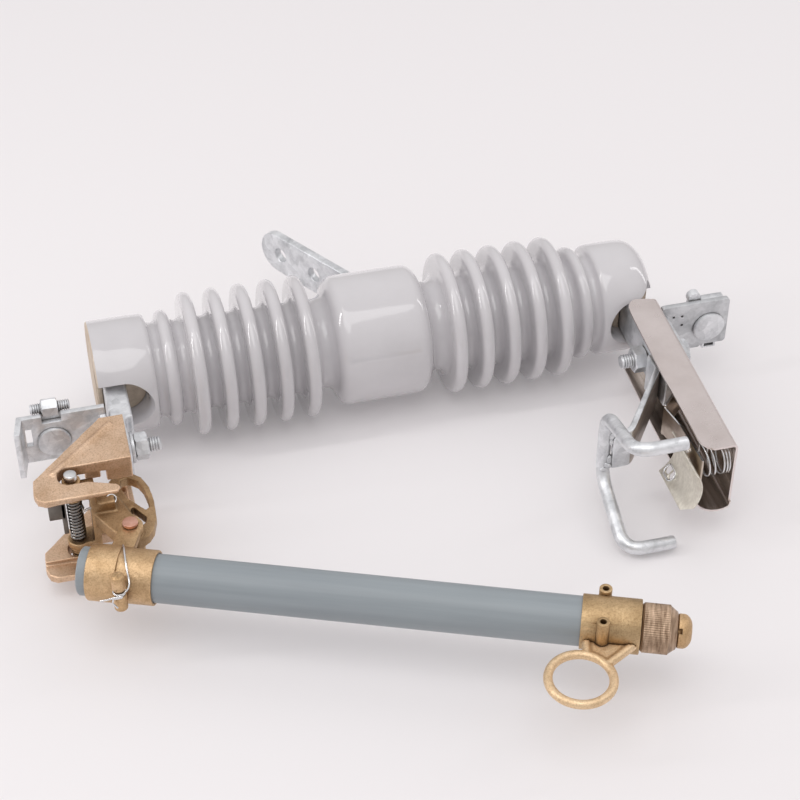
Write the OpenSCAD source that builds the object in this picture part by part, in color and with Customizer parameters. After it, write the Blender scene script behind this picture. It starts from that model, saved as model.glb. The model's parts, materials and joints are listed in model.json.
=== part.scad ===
// Dropout fuse cutout: porcelain insulator, hinge end, latch end and a
// swinging fuse holder, lying on its side with the hinge axes upright.
// +X runs along the insulator from the hinge end to the latch end,
// +Y runs to the mounting strap, +Z is up. Units are millimetres.

/* [Insulator] */
// Length of the porcelain body
insulator_len = 394; // [388:1:400]
// Diameter over the large sheds
shed_d = 100; // [96:1:104]
// Distance between neighbouring sheds
shed_pitch = 19.15; // [18.4:0.05:19.6]
// Diameter of the middle barrel
barrel_d = 91; // [86:1:94]
// Diameter of the plain end cylinders
end_d = 80; // [76:1:84]

/* [Mounting strap] */
// Width of the mounting strap
strap_w = 32; // [28:1:36]
// Thickness of the mounting strap
strap_t = 6; // [5:0.5:8]
// Diameter of the two strap holes
strap_hole_d = 11; // [9:0.5:13]
// Distance between the two strap holes
strap_hole_gap = 35; // [30:1:38]
// Angle between the strap and the square to the insulator
strap_tilt = 32; // [25:1:36]

/* [Fuse holder] */
// Outer diameter of the fuse tube
tube_od = 30; // [27:0.5:31]
// Bore of the fuse tube
tube_id = 19; // [12:0.5:22]
// Mean diameter of the pull ring
ring_d = 38; // [35:0.5:40]
// Thickness of the pull ring
ring_t = 5.6; // [4.8:0.1:6.2]
// Opening angle of the holder at rest
open_angle = 22.5; // [18:0.5:26]

/* [Latch end] */
// Half distance between the two hook tips
hook_half = 43; // [40:0.5:46]
// Diameter of the hook rod
hook_d = 9; // [7:0.5:10]

/* [Hidden] */
$fn = 64;
eps = 0.01;
half = insulator_len / 2;
// pivot of the fuse holder, measured from the middle of the insulator
px = -225.7;
py = -132.5;
// the fuse holder's own frame: u along the tube, v to the back
pin_u = -16;
pin_v = 45.4;
toggle_u = 23.6;
toggle_v = 31.4;
tube_len = 318;
// bolting face of the mounting strap
strap_cx = -32.3;
strap_cy = 95.5;
face_x = strap_cx + cos(strap_tilt) * strap_t / 2;
face_y = strap_cy + sin(strap_tilt) * strap_t / 2;
rim_r = 4.5;
first_shed = 51.8;
small_shed_x = first_shed + 4 * shed_pitch + 17.5;
small_shed_r = 40.25;

// ---------- helpers ----------
module place() translate([-face_x, -face_y, 0]) children();
module holder() place() translate([px, py, 0]) rotate([0, 0, -open_angle])
  translate([-pin_u, -pin_v, 0]) children();
module bar_x(r, x0, x1) translate([x0, 0, 0]) rotate([0, 90, 0]) cylinder(r = r, h = x1 - x0);
module box(a, b) translate(a) cube(b - a);
module rod(a, b, r) {
  d = b - a;
  l = norm(d);
  translate(a) rotate([0, acos(d[2] / l), atan2(d[1], d[0])]) cylinder(r = r, h = l);
}
module strip(a, b, t, w) {
  d = b - a;
  l = norm(d);
  translate([a[0], a[1], 0]) rotate([0, 0, atan2(d[1], d[0])])
    translate([0, -t / 2, -w / 2]) cube([l, t, w]);
}
function arc(cx, cr, r, a0, a1, n) = [for (i = [0 : n]) let (a = a0 + (a1 - a0) * i / n) [cr + r * cos(a), cx + r * sin(a)]];

// ---------- insulator ----------
shed_r = shed_d / 2;
// half profile from the middle to one end, as [radius, distance]
function valley(x0, x1, top) = let (w = (x1 - x0) / 2, m = (x0 + x1) / 2)
  [for (i = [0 : 6]) let (a = 180 * i / 6) [max(32, top) - w * sin(a), m - w * cos(a)]];
function half_profile() = concat(
  [[0, 0], [barrel_d / 2, 0]],
  arc(33 - 9, barrel_d / 2 - 9, 9, 0, 72, 6),
  valley(33, first_shed - rim_r, 38.5),
  [for (k = [0 : 4]) each concat(
     arc(first_shed + k * shed_pitch, shed_r - rim_r, rim_r, -90, 90, 8),
     k < 4 ? valley(first_shed + k * shed_pitch + rim_r, first_shed + (k + 1) * shed_pitch - rim_r, 37)
           : valley(first_shed + 4 * shed_pitch + rim_r, small_shed_x - rim_r, 36.4))],
  arc(small_shed_x, small_shed_r - rim_r, rim_r, -90, 90, 8),
  valley(small_shed_x + rim_r, small_shed_x + rim_r + 7, 36),
  [[end_d / 2 - 2, small_shed_x + rim_r + 7.2], [end_d / 2, small_shed_x + rim_r + 9.5]]);
module half_body(edge) rotate([0, 90, 0]) rotate_extrude()
  polygon(concat(half_profile(), arc(half - edge, end_d / 2 - edge, edge, 0, 90, 6), [[0, half]]));
module scoop(x0, x1, g) {
  // rounded pocket in the front of an end cylinder
  translate([x0, -60, 3]) rotate([-90, 0, 0]) cylinder(r = 16.5 - g, h = 46 - g);
  box([min(x0, x1), -60, 3 - 16.5 + g], [max(x0, x1), -14 - g, 3 + 16.5 - g]);
}
module insulator() color([0.8, 0.79, 0.81]) place() difference() {
  union() {
    half_body(14);
    mirror([1, 0, 0]) half_body(1.5);
  }
  scoop(-half + 17, -half - 5, 0);
  scoop(half - 17, half + 5, 0);
  // flared mouth of the pocket at the latch end
  translate([0, -22, 0]) rotate([90, 0, 0]) linear_extrude(38) polygon([[half - 17, 19.4], [half - 10, 22.6], [half - 5, 26.6],
    [half - 1, 31], [half + 5, 38], [half + 5, -32], [half - 1, -25], [half - 5, -20.6], [half - 10, -16.6], [half - 17, -13.4]]);
  // socket of the mounting strap
  translate([strap_cx, strap_cy, 0]) rotate([0, 0, strap_tilt])
    box([-strap_t / 2 - 0.2, -80.2, -strap_w / 2 - 0.2], [strap_t / 2 + 0.2, 60, strap_w / 2 + 0.2]);
}
module lower_cement() color([0.72, 0.62, 0.5]) place() difference() {
  intersection() {
    scoop(-half + 17, -half + 0.2, 0.3);
    box([-half - 1, -22, -30], [-half + 60, 0, 30]);
  }
  box([-193.2, -70, -12.2], [-177.8, -17.8, 15.2]);
}
module upper_cement() color([0.72, 0.62, 0.5]) place() difference() {
  intersection() {
    scoop(half - 17, half - 0.2, 0.3);
    box([half - 60, -22, -30], [half - 5, 0, 30]);
  }
  box([174.8, -70, -12.2], [181.2, -17.8, 15.2]);
}
module mounting_strap() color([0.66, 0.67, 0.67]) place()
  translate([strap_cx, strap_cy, 0]) rotate([0, 0, strap_tilt]) difference() {
    union() {
      box([-strap_t / 2, -58, -strap_w / 2], [strap_t / 2, 22, strap_w / 2]);
      // slimmer root inside the porcelain
      box([-strap_t / 2 + 0.3, -80, -strap_w / 2 + 0.3], [strap_t / 2 - 0.3, -57, strap_w / 2 - 0.3]);
      translate([-strap_t / 2, 22, 0]) rotate([0, 90, 0]) cylinder(r = strap_w / 2, h = strap_t);
    }
    for (s = [-1, 1]) translate([-10, s * strap_hole_gap / 2, 0]) rotate([0, 90, 0]) cylinder(d = strap_hole_d, h = 20);
  }

// ---------- hinge end ----------
hb_y = -76;
module lower_strap() color([0.68, 0.7, 0.71]) place() difference() {
  union() {
    box([-193, -62, -12], [-178, -18, 15]);
    box([-189, -90, -15], [-183, -60, 15]);
  }
  translate([-200, hb_y, 0]) bar_x(5.3, 0, 40);
}
module hinge_plate() difference() {
  linear_extrude(8) polygon([[-201, -82], [-186, -82], [-186.6, -124], [-215, -124.5], [-215, -140.5],
    [-198.6, -146.6], [-196.9, -149.4], [-199, -153], [-243, -153], [-247.5, -150], [-249.5, -144], [-248.5, -132]]);
  translate([px, py, -1]) cylinder(r = 8, h = 10);
  translate([px, py - 8, -1]) cube([14, 16, 10]);
  // the fingers get thinner towards their tips
  translate([-252, -160, 2.4]) rotate([0, -3.6, 0]) translate([0, 0, -20]) cube([70, 19.4, 20]);
}
module hinge_casting() color([0.78, 0.62, 0.42]) place() difference() {
  union() {
    translate([0, 0, 27]) hinge_plate();
    mirror([0, 0, 1]) translate([0, 0, 27]) hinge_plate();
    // raised rib along the sloping edge of each side
    for (s = [0, 1]) mirror([0, 0, s]) {
      rod([-194.8, -89.2, 34.9], [-236.4, -129.6, 34.9], 1.9);
      // wall along the inner edge of the slot
      box([-203, -124, 18], [-186.6, -118, 28]);
      box([-190, -121.5, 21], [-186.4, -82.5, 28]);
      // short web behind the slot
      box([-216, -112, 11], [-206, -109, 28]);
    }
    box([-195.2, -88, -30], [-189.2, -82.2, 30]);
    box([-195.2, -88, -17], [-189.2, -64, 17]);
  }
  translate([-200, hb_y, 0]) bar_x(5.3, 0, 40);
}
module hinge_bolt() color([0.72, 0.73, 0.74]) place() translate([0, hb_y, 0]) {
  bar_x(5, -200, -163);
  translate([-206.2, 0, 0]) rotate([0, 90, 0]) cylinder(r = 9.3, h = 6.8, $fn = 6);
  bar_x(10.4, -182.9, -180.6);
  translate([-180.4, 0, 0]) rotate([0, 90, 0]) cylinder(r = 9.3, h = 8.9, $fn = 6);
}
module lower_terminal() color([0.62, 0.63, 0.63]) place() difference() {
  union() {
    box([-252.5, -56, -16], [-195.4, -52, 21]);
    translate([0, 0, -16]) linear_extrude(37) polygon([[-252.5, -52], [-255.8, -70], [-252, -70.6], [-248.6, -52]]);
    box([-199.2, -86, -15], [-195.4, -52, 15]);
  }
  box([-248.2, -62, -2], [-244, -50, 12]);
  // room for the clamp nut
  box([-236.6, -60, 15.2], [-223.9, -50, 30]);
  translate([-205, hb_y, 0]) bar_x(5.3, 0, 30);
  translate([-230.5, -40, 0]) rotate([90, 0, 0]) cylinder(r = 4.3, h = 30);
}
module lower_terminal_stud() color([0.64, 0.65, 0.65]) place() translate([-230.5, 0, 0]) {
  translate([0, -56.1, 0]) rotate([90, 0, 0]) cylinder(r = 11, h = 2.4);
  translate([0, -33, 0]) rotate([90, 0, 0]) cylinder(r = 4, h = 24);
  translate([0, -43.6, 0]) rotate([90, 0, 0]) cylinder(r = 8, h = 6.5, $fn = 6);
}
module lower_clamp_bolt() color([0.7, 0.71, 0.72]) place() translate([0, -47.4, 21.6]) {
  bar_x(3.6, -243, -217);
  translate([-235.6, 0, 0]) rotate([0, 90, 0]) cylinder(r = 6.2, h = 10.6, $fn = 6);
  box([-237.5, -4.4, -14.6], [-223, 4.4, -2]);
}

// ---------- latch end ----------
ub_y = -73;
module upper_strap() color([0.68, 0.7, 0.71]) place() difference() {
  box([175, -112, -12], [181, -18, 15]);
  translate([150, ub_y, 0]) bar_x(5.3, 0, 60);
}
module hood() color([0.72, 0.68, 0.65]) place() difference() {
  translate([0, 0, -28]) linear_extrude(52) polygon([[172.6, -42], [178.6, -37], [194.4, -41], [190.4, -198], [173, -198], [168.4, -193], [167, -186], [168.4, -112], [171, -52]]);
  translate([0, 0, -26.5]) linear_extrude(49) polygon([[160, -30], [192.9, -30], [188.7, -210], [160, -210]]);
  translate([150, ub_y, 0]) bar_x(5.3, 0, 60);
}
module upper_terminal() color([0.66, 0.67, 0.68]) place() difference() {
  union() {
    translate([0, -46, 0]) rotate([90, 0, 0]) linear_extrude(4) offset(r = 2.5) offset(delta = -2.5)
      polygon([[194.7, -18], [225.4, -18], [227.6, -16], [245.4, -16], [245.4, 21.5], [194.7, 21.5]]);
    box([194.7, -96, -15], [198.7, -46, 15]);
  }
  translate([150, ub_y, 0]) bar_x(5.3, 0, 60);
  translate([231, -30, 0]) rotate([90, 0, 0]) cylinder(r = 4.3, h = 30);
  for (p = [[204, 12.4], [210.4, 12.2], [210.8, 4.6], [211.8, -10.5]]) translate([p[0], -40, p[1]]) rotate([90, 0, 0]) cylinder(r = 0.9, h = 20);
}
module upper_terminal_stud() color([0.66, 0.67, 0.67]) place() translate([231, 0, 0]) {
  translate([0, -50.1, 0]) rotate([90, 0, 0]) cylinder(r = 11.5, h = 2.4);
  translate([0, -27, 0]) rotate([90, 0, 0]) cylinder(r = 4, h = 24);
  translate([0, -37.6, 0]) rotate([90, 0, 0]) cylinder(r = 8, h = 6.5, $fn = 6);
}
module upper_clamp_bolt() color([0.7, 0.71, 0.72]) place() difference() {
  union() {
    translate([220.6, -39.4, 22]) rotate([90, 0, 0]) cylinder(r = 4.7, h = 6);
    box([217, -45.6, 12], [242.6, -39.2, 20]);
    box([228.4, -45.6, -20], [238.6, -42.2, -9]);
    box([228.4, -49.4, -20], [238.6, -42.2, -16.3]);
    box([239.6, -45.6, -12], [242.6, -42.2, 14]);
    box([236, -45.6, -12], [242.6, -44.6, -9]);
  }
  // slot in the lower hook
  box([230, -52, -18.8], [237, -43.4, -15]);
}
module hood_bolt() color([0.72, 0.73, 0.74]) place() translate([0, ub_y, 0]) {
  bar_x(5, 157, 200);
  translate([199, 0, 0]) rotate([0, 90, 0]) cylinder(r = 9.3, h = 6.8, $fn = 6);
  translate([165.8, 0, 0]) rotate([0, 90, 0]) cylinder(r = 9.3, h = 9, $fn = 6);
}
module hook_bar() color([0.67, 0.69, 0.7]) place() difference() {
  translate([0, 0, -16]) linear_extrude(30) polygon([[174.9, -86], [174.9, -101.6], [139.6, -152.2], [137, -155.6],
    [134.2, -157.8], [131, -158.5], [121.9, -158.5], [121.9, -154.5], [130, -154.5], [132.2, -153.8], [134.4, -152],
    [136.4, -149.4], [170.9, -100.3], [170.9, -86]]);
  // corner taken off the web beside the rod
  translate([121, -165, 8]) rotate([0, -38, 0]) cube([30, 20, 30]);
}
hr = hook_d / 2;
// points of the rod along a bend from a to b about the corner c
function bend(a, c, b, n) = [for (i = [0 : n]) let (t = i / n) (1 - t) * (1 - t) * a + 2 * t * (1 - t) * c + t * t * b];
function along(a, b, d) = a + (b - a) * d / norm(b - a);
module hook_rod() color([0.72, 0.74, 0.76]) place() {
  rod([118, -151.5, -16], [118, -151.5, 16], hr);
  for (s = [-1, 1]) {
    top = [118, -151.5, 16 * s];
    corner = [118, -151.5, 26 * s];
    elbow = [115.5, -208, hook_half * s];
    tip = [150, -208, hook_half * s];
    path = concat(bend(top, corner, along(corner, elbow, 10), 4), bend(along(elbow, corner, 12), elbow, along(elbow, tip, 12), 4), [tip]);
    for (i = [0 : len(path) - 2]) {
      translate(path[i]) sphere(r = hr + 0.25);
      rod(path[i], path[i + 1], hr);
    }
  }
}
module cup_contact() color([0.85, 0.82, 0.72]) place() difference() {
  // shallow trough with its hollow towards the fuse holder
  translate([139.6, -208, -2]) rotate([-90, 0, 0]) cylinder(r = 25.4, h = 46);
  translate([139.6, -209, -2]) rotate([-90, 0, 0]) cylinder(r = 24.2, h = 48);
  box([80, -214, -50], [154, -160, 50]);
  box([150, -214, 11.4], [170, -160, 50]);
  box([150, -214, -60], [170, -160, -22]);
  // front corners taken off
  translate([150, -214, 7]) rotate([40, 0, 0]) cube([20, 30, 30]);
  translate([150, -208, -16]) rotate([-40, 0, 0]) translate([0, -20, -30]) cube([20, 40, 30]);
  // slotted hole near the lower edge
  for (y = [-167.5, -173.5]) translate([150, y, -17]) bar_x(2.9, 0, 20);
}
module contact_leaf() color([0.6, 0.45, 0.3]) place() difference() {
  union() {
    strip([188.6, -56], [188.6, -112], 1.6, 26);
    strip([188.9, -111.2], [164.5, -138], 1.6, 26);
    strip([164.5, -137.2], [168.7, -160], 1.6, 22);
    strip([168.6, -159.4], [169.4, -194], 1.6, 22);
    translate([0, -172, 0]) bar_x(4.5, 165.3, 169);
  }
  translate([150, ub_y, 0]) bar_x(5.3, 0, 60);
}
module contact_spring() color([0.7, 0.7, 0.7]) place() translate([0, -184.5, 4]) difference() {
  bar_x(12.4, 170.6, 188.7);
  bar_x(10.8, 170, 191);
}

// ---------- trunnion ----------
module trunnion_shaft() color([0.75, 0.76, 0.77]) place() translate([px, py, 0]) {
  cylinder(r = 3, h = 68, center = true);
  for (s = [0, 1]) mirror([0, 0, s]) translate([0, 0, 32.5]) cylinder(r = 4.3, h = 4.5);
}
module trunnion_casting() color([0.72, 0.56, 0.37]) place() {
  difference() {
    union() {
      for (z = [18, -23]) translate([px, py, z]) {
        cylinder(r = 7.4, h = 5);
        translate([0, -6, 0]) cube([14, 15, 5]);
      }
      box([px + 9.4, py - 6, -23], [px + 14, py + 6, 23]);
      box([px + 9.4, py - 6, -13], [px + 25, py + 5, 13]);
    }
    translate([px, py, -40]) cylinder(r = 3.05, h = 80);
  }
  // tongue between the ears, and the lifting loop
  difference() {
    union() {
      translate([0, 0, -5.5]) linear_extrude(11) polygon([[px + 11, py + 6], [px + 26, py + 12], [-194.4 + 7, -159.5 + 4], [-194.4 - 6, -159.5 - 5.3], [px + 11, py - 6]]);
      holder_local_toggle(8, -5.5, 11);
      translate([0, 0, -3.5]) linear_extrude(7) difference() {
        polygon([[-206, -116], [-200, -106.5], [-194, -102.8], [-188, -102.8], [-181, -109.5], [-177.4, -119.5],
          [-176.2, -132], [-177, -148], [-180, -158.4], [-184, -164], [-189, -166.8], [-196, -164], [-206, -140]]);
        polygon([[-194.2, -109.6], [-189.6, -108], [-184, -112.6], [-181.2, -120], [-180, -130], [-180, -138.6], [-182.6, -140.4], [-192, -127], [-195.6, -114.6]]);
        polygon([[-190.8, -134.5], [-183, -147.5], [-184.6, -152.5], [-188.4, -154.3], [-193, -146]]);
      }
    }
    holder_local_toggle(4.05, -20, 40);
  }
}
module holder_local_toggle(r, z, h) translate([px, py, 0]) rotate([0, 0, -open_angle])
  translate([toggle_u - pin_u, toggle_v - pin_v, z]) cylinder(r = r, h = h);
module flipper_spring() color([0.2, 0.2, 0.2]) place() translate([px, py, -17.6]) difference() {
  cylinder(r = 5.1, h = 35.2);
  translate([0, 0, -1]) cylinder(r = 3.4, h = 40);
}
module flipper() color([0.3, 0.3, 0.3]) place() {
  box([px - 17, py - 1.5, 2], [px - 5.5, py + 1.5, 14]);
}
module toggle_pin() color([0.8, 0.5, 0.36]) place() {
  holder_local_toggle(4, -13.5, 27);
  holder_local_toggle(4.8, 12.3, 2.4);
  holder_local_toggle(4.8, -14.7, 2.4);
}

// ---------- fuse holder ----------
module lower_ferrule() color([0.78, 0.6, 0.36]) holder() {
  difference() {
    union() {
      bar_x(17.6, 6, 25);
      bar_x(17, 24, 47);
      for (z = [6, -12]) {
        translate([toggle_u, toggle_v, z]) cylinder(r = 7.6, h = 6);
        box([toggle_u - 7, 8, z], [toggle_u + 7, toggle_v, z + 6]);
      }
    }
    bar_x(tube_od / 2 + 0.05, 0, 60);
    translate([toggle_u, toggle_v, -30]) cylinder(r = 4.05, h = 60);
  }
}
module link_stud() color([0.78, 0.6, 0.38]) holder() difference() {
  union() {
    translate([30, -22.2, -5]) cylinder(r = 4.2, h = 12.2);
    translate([30, -22.2, 6]) cylinder(r = 2.9, h = 6);
    translate([30, -22.2, 11.2]) cylinder(r = 4.2, h = 11.4);
    box([27, -22, -4], [33, -12, 6.4]);
  }
  bar_x(17.1, 0, 60);
}
// the wire runs slanting round the ferrule, then round the waist of the stud
wire_path = [for (i = [0 : 10]) let (a = 60 + 9 * i) [25 + 10.2 * i / 10, 18.6 * cos(a), 18.6 * sin(a)]];
module tie_wire() color([0.82, 0.82, 0.82]) holder() {
  for (i = [0 : 9]) {
    translate(wire_path[i]) sphere(r = 0.72, $fn = 16);
    rod(wire_path[i], wire_path[i + 1], 0.7, $fn = 16);
  }
  translate(wire_path[10]) sphere(r = 0.72, $fn = 16);
  rod(wire_path[10], [33.7, -21.8, 9.2], 0.7, $fn = 16);
  translate([30, -22.2, 9.2]) rotate_extrude() translate([3.7, 0]) circle(r = 0.68, $fn = 16);
}
module fuse_tube() color([0.55, 0.6, 0.63]) holder() difference() {
  bar_x(tube_od / 2, 0, tube_len);
  bar_x(tube_id / 2, -1, tube_len + 1);
}
module upper_ferrule() color([0.78, 0.6, 0.38]) holder() difference() {
  union() {
    bar_x(16.5, 304, 339.2);
    translate([317, 13.2, -17.4]) cylinder(r = 3.9, h = 33.6);
    translate([317, -15.6, -2]) cylinder(r = 3.9, h = 20);
  }
  bar_x(tube_od / 2 + 0.05, 300, tube_len + 0.2);
  bar_x(tube_id / 2, 300, 345);
  translate([317, 13.2, 12]) cylinder(r = 1.9, h = 20);
  translate([317, -15.6, 11]) cylinder(r = 1.9, h = 20);
}
module pull_ring() color([0.8, 0.63, 0.4]) holder() translate([307, -45.6, 0]) {
  difference() {
    union() {
      rotate_extrude() translate([ring_d / 2, 0]) circle(d = ring_t, $fn = 32);
      rod([2.5, 19, 0], [0.9, 31.5, 0], 2.8);
      rod([15, 14, 0], [29.6, 31.5, 0], 2.8);
      translate([0, 0, -1.2]) linear_extrude(2.4) polygon([[3, 18.5], [15, 13], [28.6, 31.5], [0.9, 31.5]]);
    }
    translate([0, 45.6, 0]) rotate([0, 90, 0]) cylinder(r = 16.8, h = 200, center = true);
    translate([10, 30, -2.3]) cylinder(r = 4.2, h = 20);
    translate([0, 0, -10]) cylinder(r = (ring_d - ring_t) / 2 - 0.02, h = 20);
  }
}
module fuse_cap() color([0.66, 0.52, 0.4]) holder() difference() {
  union() {
    bar_x(14.8, 339.6, 356.6);
    translate([356.6, 0, 0]) rotate([0, 90, 0]) cylinder(r1 = 13.6, r2 = 10.6, h = 4);
  }
  bar_x(9.5, 338, 350);
}
module cap_button() color([0.7, 0.56, 0.42]) holder() difference() {
  union() {
    bar_x(10.3, 360.8, 365.8);
    translate([365.8, 0, 0]) rotate([0, 90, 0]) cylinder(r1 = 10.3, r2 = 6, h = 3.6);
  }
  // small notch at the upper front
  rotate([-45, 0, 0]) box([360, -14, -1.6], [363.4, -8.6, 1.6]);
}

insulator();
lower_cement();
upper_cement();
mounting_strap();
lower_strap();
lower_terminal();
lower_terminal_stud();
lower_clamp_bolt();
hinge_casting();
hinge_bolt();
upper_strap();
upper_terminal();
upper_terminal_stud();
upper_clamp_bolt();
hood();
hood_bolt();
hook_bar();
hook_rod();
cup_contact();
contact_leaf();
contact_spring();
trunnion_shaft();
trunnion_casting();
flipper_spring();
flipper();
toggle_pin();
lower_ferrule();
link_stud();
tie_wire();
fuse_tube();
upper_ferrule();
pull_ring();
fuse_cap();
cap_button();
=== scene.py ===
import json
import math
import random
import bpy
import bmesh
from mathutils import Vector, Matrix


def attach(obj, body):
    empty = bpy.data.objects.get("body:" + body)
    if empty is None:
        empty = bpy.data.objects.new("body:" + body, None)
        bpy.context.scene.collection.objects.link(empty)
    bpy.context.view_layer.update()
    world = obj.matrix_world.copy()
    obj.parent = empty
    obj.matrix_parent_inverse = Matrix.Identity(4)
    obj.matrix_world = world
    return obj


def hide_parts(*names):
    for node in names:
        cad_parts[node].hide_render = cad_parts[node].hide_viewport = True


bpy.ops.wm.read_factory_settings(use_empty=True)
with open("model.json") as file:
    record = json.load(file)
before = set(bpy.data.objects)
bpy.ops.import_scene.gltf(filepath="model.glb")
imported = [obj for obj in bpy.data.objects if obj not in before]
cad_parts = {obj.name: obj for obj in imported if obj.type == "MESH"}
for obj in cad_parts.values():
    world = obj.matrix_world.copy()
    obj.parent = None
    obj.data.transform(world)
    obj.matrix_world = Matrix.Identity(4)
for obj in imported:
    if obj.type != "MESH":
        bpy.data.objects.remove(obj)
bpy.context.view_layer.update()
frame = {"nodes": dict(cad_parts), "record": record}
N = frame["nodes"]
S = bpy.context.scene
S.view_settings.view_transform = "Standard"
S.view_settings.look = "None"
RND = random.Random(7)
pi, cos, sin, rad = math.pi, math.cos, math.sin, math.radians

# insulator-frame (mm) -> row frame (m)
TILT = rad(32)
FX = -32.3 + cos(TILT) * 3.0
FY = 95.5 + sin(TILT) * 3.0
TX, TY, OPEN = -225.7, -132.5, rad(-22.5)


def P(x, y, z=0.0):
    return Vector(((x - FX) / 1000, (y - FY) / 1000, z / 1000))


def to_i(p):
    return P(p[0], p[1], p[2])


def hold(u, v):
    a, b = u + 16, v - 45.4
    return TX + cos(OPEN) * a - sin(OPEN) * b, TY + sin(OPEN) * a + cos(OPEN) * b


def to_h(p):
    x, y = hold(p[0], p[1])
    return P(x, y, p[2])


# ---------- camera ----------
PSI, ELEV = rad(14.598), rad(40.242)
cam_data = bpy.data.cameras.new("cam")
cam = bpy.data.objects.new("cam", cam_data)
S.collection.objects.link(cam)
S.camera = cam
cam_data.sensor_width = 36
cam_data.lens = 1900 / 800 * 36
cam.location = P(-246.506, -1019.738, 827.322)
fwd = Vector((sin(PSI) * cos(ELEV), cos(PSI) * cos(ELEV), -sin(ELEV)))
cam.rotation_mode = "QUATERNION"
cam.rotation_quaternion = fwd.to_track_quat("-Z", "Y")
cam_data.clip_start, cam_data.clip_end = 0.05, 50


# ---------- materials ----------
class Mat:
    def __init__(self, name, base, rough, metal=0.0, coat=0.0, coat_rough=0.1, spec=0.5):
        self.m = bpy.data.materials.new(name)
        self.m.use_nodes = True
        self.t = self.m.node_tree
        self.b = self.t.nodes["Principled BSDF"]
        self.b.inputs["Base Color"].default_value = (*base, 1)
        self.b.inputs["Roughness"].default_value = rough
        self.b.inputs["Metallic"].default_value = metal
        self.b.inputs["Coat Weight"].default_value = coat
        self.b.inputs["Coat Roughness"].default_value = coat_rough
        self.b.inputs["Specular IOR Level"].default_value = spec
        self.co = None

    def coords(self, rot=0.0, scale=(1, 1, 1)):
        tc = self.t.nodes.new("ShaderNodeTexCoord")
        mp = self.t.nodes.new("ShaderNodeMapping")
        mp.vector_type = "TEXTURE"
        mp.inputs["Rotation"].default_value = (0, 0, -rot)
        mp.inputs["Scale"].default_value = tuple(1 / k for k in scale)
        self.t.links.new(tc.outputs["Object"], mp.inputs["Vector"])
        return mp.outputs["Vector"]

    def noise(self, scale, detail=3.0, rough=0.55, vec=None):
        n = self.t.nodes.new("ShaderNodeTexNoise")
        n.inputs["Scale"].default_value = scale
        n.inputs["Detail"].default_value = detail
        n.inputs["Roughness"].default_value = rough
        self.t.links.new(vec if vec is not None else self.coords(), n.inputs["Vector"])
        return n.outputs["Fac"]

    def ramp(self, fac, stops):
        r = self.t.nodes.new("ShaderNodeValToRGB")
        e = r.color_ramp.elements
        while len(e) < len(stops):
            e.new(0.5)
        for k, (p, c) in enumerate(stops):
            e[k].position = p
            e[k].color = (*c, 1) if not isinstance(c, (int, float)) else (c, c, c, 1)
        self.t.links.new(fac, r.inputs["Fac"])
        return r.outputs["Color"]

    def mix(self, fac, a, b, mode="MIX"):
        n = self.t.nodes.new("ShaderNodeMix")
        n.data_type = "RGBA"
        n.blend_type = mode
        for sock, val in ((n.inputs[0], fac), (n.inputs[6], a), (n.inputs[7], b)):
            if isinstance(val, (int, float)):
                sock.default_value = val
            elif isinstance(val, tuple):
                sock.default_value = (*val, 1)
            else:
                self.t.links.new(val, sock)
        return n.outputs[2]

    def color(self, out):
        self.t.links.new(out, self.b.inputs["Base Color"])

    def painted_crevice_shade(self, out, dist, dark, lo=0.25, hi=0.8):
        """The colour with painted shade: darker in corners and crevices, where shade falls."""
        n = self.t.nodes.new("ShaderNodeAmbientOcclusion")
        n.samples = 4
        n.inputs["Distance"].default_value = dist
        return self.mix(1.0, out, self.ramp(n.outputs["AO"], [(lo, dark), (hi, (1.0, 1.0, 1.0))]), "MULTIPLY")

    def rough(self, out):
        self.t.links.new(out, self.b.inputs["Roughness"])

    def bump(self, fac, strength, dist):
        n = self.t.nodes.new("ShaderNodeBump")
        n.inputs["Strength"].default_value = strength
        n.inputs["Distance"].default_value = dist
        self.t.links.new(fac, n.inputs["Height"])
        self.t.links.new(n.outputs["Normal"], self.b.inputs["Normal"])


def mottled(name, dark, light, scale, rough, metal, bump=0.0, bscale=900.0, bdist=0.0003, lo=0.35, hi=0.65, rlo=None, rhi=None, coat=0.0):
    m = Mat(name, light, rough, metal, coat)
    n = m.noise(scale, 5.0, 0.6)
    m.color(m.ramp(n, [(lo, dark), (hi, light)]))
    if bump:
        m.bump(m.noise(bscale, 4.0, 0.6), bump, bdist)
    if rlo is not None:
        m.rough(m.ramp(m.noise(scale * 2.3, 4.0), [(0.3, rlo), (0.7, rhi)]))
    return m.m


def porcelain():
    m = Mat("porcelain", (0.62, 0.6, 0.62), 0.14, 0.0, 0.9, 0.03)
    soft = m.ramp(m.noise(14.0, 4.0), [(0.3, (0.525, 0.508, 0.523)), (0.7, (0.60, 0.583, 0.60))])
    v = m.t.nodes.new("ShaderNodeTexVoronoi")
    v.inputs["Scale"].default_value = 120.0
    m.t.links.new(m.coords(), v.inputs["Vector"])
    spots = m.ramp(v.outputs["Distance"], [(0.07, 1.0), (0.12, 0.0)])
    few = m.ramp(m.noise(34.0, 2.0), [(0.66, 0.0), (0.69, 1.0)])
    gate = m.mix(1.0, spots, few, "MULTIPLY")
    # a faint emission makes the porcelain glow a little: painted light that lifts its shade
    m.b.inputs["Emission Color"].default_value = (1.0, 0.97, 1.0, 1)
    m.b.inputs["Emission Strength"].default_value = 0.015
    m.color(m.mix(gate, soft, (0.16, 0.12, 0.10)))
    m.bump(m.noise(55.0, 3.0), 0.10, 0.0012)
    return m.m


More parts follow.
